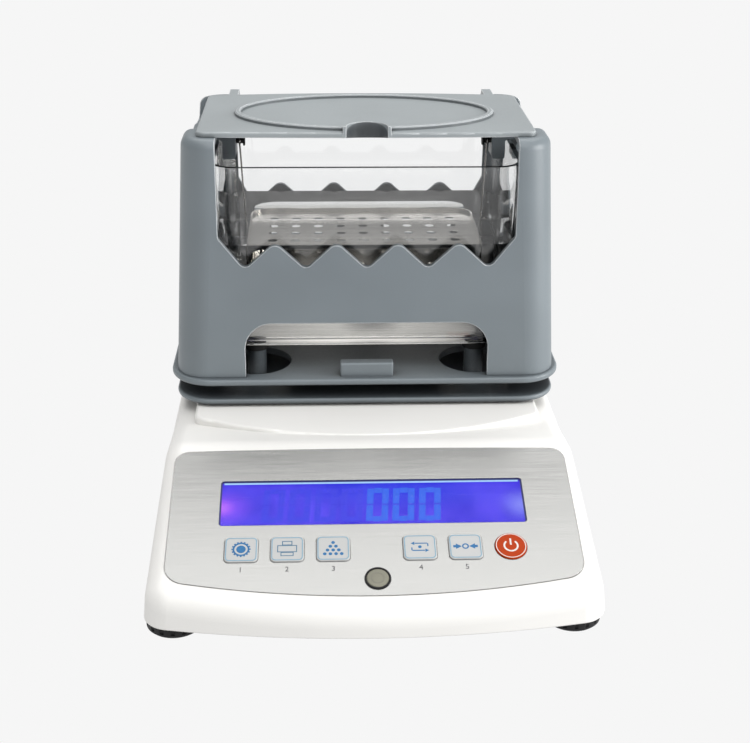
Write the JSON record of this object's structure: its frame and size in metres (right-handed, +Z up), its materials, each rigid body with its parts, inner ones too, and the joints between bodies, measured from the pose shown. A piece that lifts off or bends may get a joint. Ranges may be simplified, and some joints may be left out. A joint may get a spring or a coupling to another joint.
{
  "type": "benchtop density meter",
  "caption": "Benchtop density meter: low wedge-shaped base with display and keys, clear water tank in a grey measuring frame with a hinged upper plate.",
  "frame": {"origin": "on the bench under the middle of the base", "axes": "+X to the right as the user faces the keys, +Y to the back, +Z up"},
  "size_m": [0.205, 0.283, 0.1962],
  "materials": {
    "white_shell": "fine satin, warm white",
    "grey_cover": "matte grey",
    "brass": "machined",
    "brushed_panel": "finely brushed, light silver",
    "clear_window": "clear, polished",
    "display": "lit blue-violet",
    "light_guide": "clear white",
    "board_green": "solder-mask green",
    "black_plastic": "matte black",
    "rubber_black": "matte black",
    "grey_key": "satin light grey",
    "orange_key": "satin orange-red",
    "vial_liquid": "olive, clear",
    "steel": "brushed",
    "bare_aluminium": "milled",
    "clear_tank": "clear moulded",
    "grey_plastic": "fine-grained mid grey"
  },
  "bodies": {
    "base": {"bottom_cover": "grey_cover", "chassis_plate": "steel", "dc_inlet": "black_plastic", "display_board": "board_green", "display_lens": "clear_window", "foot_inserts": "brass", "front_panel": "brushed_panel", "key_switches": "black_plastic", "lcd_backlight": "light_guide", "lcd_panel": "display", "level_vial_cup": "black_plastic", "level_vial_glass": "vial_liquid", "load_cell": "bare_aluminium", "load_cell_base_spacer": "bare_aluminium", "load_cell_top_spacer": "bare_aluminium", "main_board": "board_green", "overload_stop": "steel", "pan_carrier": "bare_aluminium", "pan_seat": "bare_aluminium", "serial_port": "steel", "tank_post_caps": "rubber_black", "tank_stand": "grey_plastic", "upper_housing": "white_shell", "water_tank": "clear_tank", "weighing_pan": "grey_plastic"},
    "frame": {"measuring_frame": "grey_plastic", "basket_hook_pins": "black_plastic", "plate_hinge_pins": "steel"},
    "plate": {"upper_plate": "grey_plastic"},
    "basket": {"basket_tray": "steel", "basket_wires": "steel"},
    "set_key": {"set_key": "grey_key"},
    "print_key": {"print_key": "grey_key"},
    "enter_key": {"enter_key": "grey_key"},
    "mode_key": {"mode_key": "grey_key"},
    "zero_key": {"zero_key": "grey_key"},
    "power_key": {"power_key": "orange_key"},
    "foot_front_left": {"foot_front_left": "black_plastic", "foot_stud_front_left": "steel"},
    "foot_front_right": {"foot_front_right": "black_plastic", "foot_stud_front_right": "steel"},
    "foot_rear_left": {"foot_rear_left": "black_plastic", "foot_stud_rear_left": "steel"},
    "foot_rear_right": {"foot_rear_right": "black_plastic", "foot_stud_rear_right": "steel"}
  },
  "joints": [
    {"name": "frame_lift", "type": "slide", "parent": "base", "child": "frame", "axis": [0, 0, 1], "range_m": [0, 0.115]},
    {"name": "plate_hinge", "type": "hinge", "parent": "frame", "child": "plate", "pos_m": [0, 0.115, 0.1885], "axis": [-1, 0, 0], "range_deg": [0, 100]},
    {"name": "basket_swing", "type": "hinge", "parent": "frame", "child": "basket", "pos_m": [0, 0.0625, 0.1775], "axis": [1, 0, 0], "range_deg": [-4, 4]},
    {"name": "set_key_press", "type": "slide", "parent": "base", "child": "set_key", "axis": [0, 0.3469, -0.9379], "range_m": [0, 0.0005], "stiffness_N_per_m": 200, "springref_m": -0.002},
    {"name": "print_key_press", "type": "slide", "parent": "base", "child": "print_key", "axis": [0, 0.3469, -0.9379], "range_m": [0, 0.0005], "stiffness_N_per_m": 200, "springref_m": -0.002},
    {"name": "enter_key_press", "type": "slide", "parent": "base", "child": "enter_key", "axis": [0, 0.3469, -0.9379], "range_m": [0, 0.0005], "stiffness_N_per_m": 200, "springref_m": -0.002},
    {"name": "mode_key_press", "type": "slide", "parent": "base", "child": "mode_key", "axis": [0, 0.3469, -0.9379], "range_m": [0, 0.0005], "stiffness_N_per_m": 200, "springref_m": -0.002},
    {"name": "zero_key_press", "type": "slide", "parent": "base", "child": "zero_key", "axis": [0, 0.3469, -0.9379], "range_m": [0, 0.0005], "stiffness_N_per_m": 200, "springref_m": -0.002},
    {"name": "power_key_press", "type": "slide", "parent": "base", "child": "power_key", "axis": [0, 0.3469, -0.9379], "range_m": [0, 0.0005], "stiffness_N_per_m": 200, "springref_m": -0.002},
    {"name": "foot_front_left_turn", "type": "hinge", "parent": "base", "child": "foot_front_left", "pos_m": [-0.0895, -0.111, 0], "axis": [0, 0, 1], "range_deg": [-720, 720]},
    {"name": "foot_front_right_turn", "type": "hinge", "parent": "base", "child": "foot_front_right", "pos_m": [0.0895, -0.111, 0], "axis": [0, 0, 1], "range_deg": [-720, 720]},
    {"name": "foot_rear_left_turn", "type": "hinge", "parent": "base", "child": "foot_rear_left", "pos_m": [-0.0895, 0.112, 0], "axis": [0, 0, 1], "range_deg": [-720, 720]},
    {"name": "foot_rear_right_turn", "type": "hinge", "parent": "base", "child": "foot_rear_right", "pos_m": [0.0895, 0.112, 0], "axis": [0, 0, 1], "range_deg": [-720, 720]}
  ]
}
